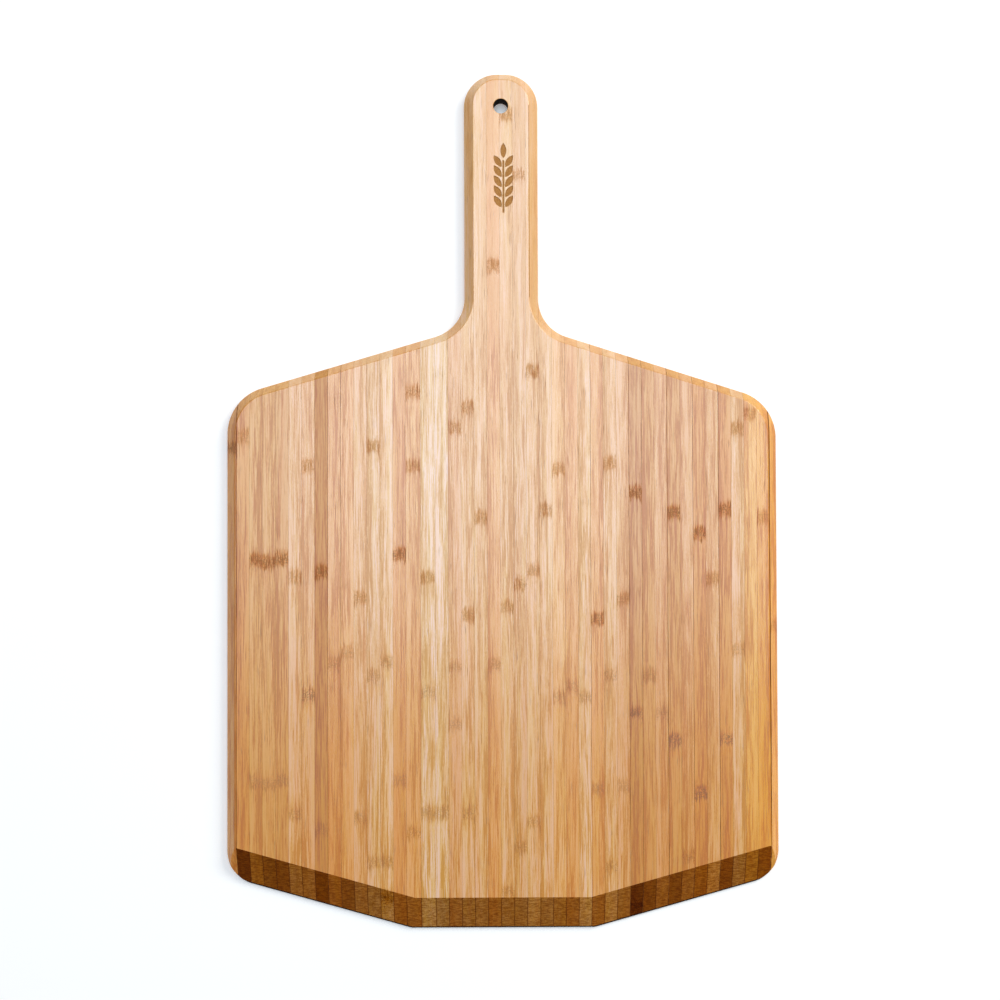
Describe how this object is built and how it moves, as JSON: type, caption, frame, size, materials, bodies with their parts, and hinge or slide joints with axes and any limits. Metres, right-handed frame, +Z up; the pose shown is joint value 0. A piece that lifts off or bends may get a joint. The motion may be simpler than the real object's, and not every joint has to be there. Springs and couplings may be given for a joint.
{
  "type": "pizza peel",
  "caption": "Flat laminated bamboo pizza peel: wide blade with bevelled front edge, sloped shoulders and a straight handle with a hanging hole.",
  "frame": {"origin": "centre of the bounding box, on the plane of the flat underside", "axes": "+Y along the board towards the handle end, +Z up out of the top face, +X to the right seen from above with the handle pointing away"},
  "size_m": [0.305, 0.475, 0.01],
  "materials": {
    "bamboo_pale": "oiled satin, pale cream bamboo strip",
    "bamboo_straw": "oiled satin, straw yellow bamboo strip",
    "bamboo_honey": "oiled satin, honey brown bamboo strip",
    "bamboo_tan": "oiled satin, pinkish tan bamboo strip",
    "bamboo_rust": "oiled satin, rust brown bamboo strip",
    "bamboo_amber": "oiled satin, orange amber bamboo strip"
  },
  "bodies": {
    "root": {"left_edge_slat": "bamboo_honey", "left_blade_slat_01": "bamboo_tan", "left_blade_slat_02": "bamboo_tan", "left_blade_slat_03": "bamboo_tan", "left_blade_slat_04": "bamboo_tan", "left_blade_slat_05": "bamboo_straw", "left_blade_slat_06": "bamboo_honey", "left_blade_slat_07": "bamboo_rust", "left_blade_slat_08": "bamboo_honey", "left_blade_slat_09": "bamboo_straw", "left_blade_slat_10": "bamboo_straw", "left_blade_slat_11": "bamboo_straw", "left_blade_slat_12": "bamboo_pale", "left_blade_slat_13": "bamboo_honey", "left_blade_slat_14": "bamboo_straw", "left_blade_slat_15": "bamboo_pale", "left_blade_slat_16": "bamboo_pale", "left_blade_slat_17": "bamboo_straw", "left_neck_slat": "bamboo_pale", "handle_slat_1": "bamboo_pale", "handle_slat_2": "bamboo_straw", "handle_slat_3": "bamboo_pale", "handle_slat_4": "bamboo_straw", "handle_slat_5": "bamboo_pale", "right_blade_slat_01": "bamboo_pale", "right_blade_slat_02": "bamboo_pale", "right_blade_slat_03": "bamboo_straw", "right_blade_slat_04": "bamboo_pale", "right_blade_slat_05": "bamboo_straw", "right_blade_slat_06": "bamboo_pale", "right_blade_slat_07": "bamboo_straw", "right_blade_slat_08": "bamboo_tan", "right_blade_slat_09": "bamboo_tan", "right_blade_slat_10": "bamboo_honey", "right_blade_slat_11": "bamboo_tan", "right_blade_slat_12": "bamboo_honey", "right_blade_slat_13": "bamboo_tan", "right_blade_slat_14": "bamboo_honey", "right_blade_slat_15": "bamboo_tan", "right_blade_slat_16": "bamboo_pale", "right_blade_slat_17": "bamboo_amber", "right_blade_slat_18": "bamboo_amber", "right_edge_slat": "bamboo_amber"}
  },
  "joints": []
}
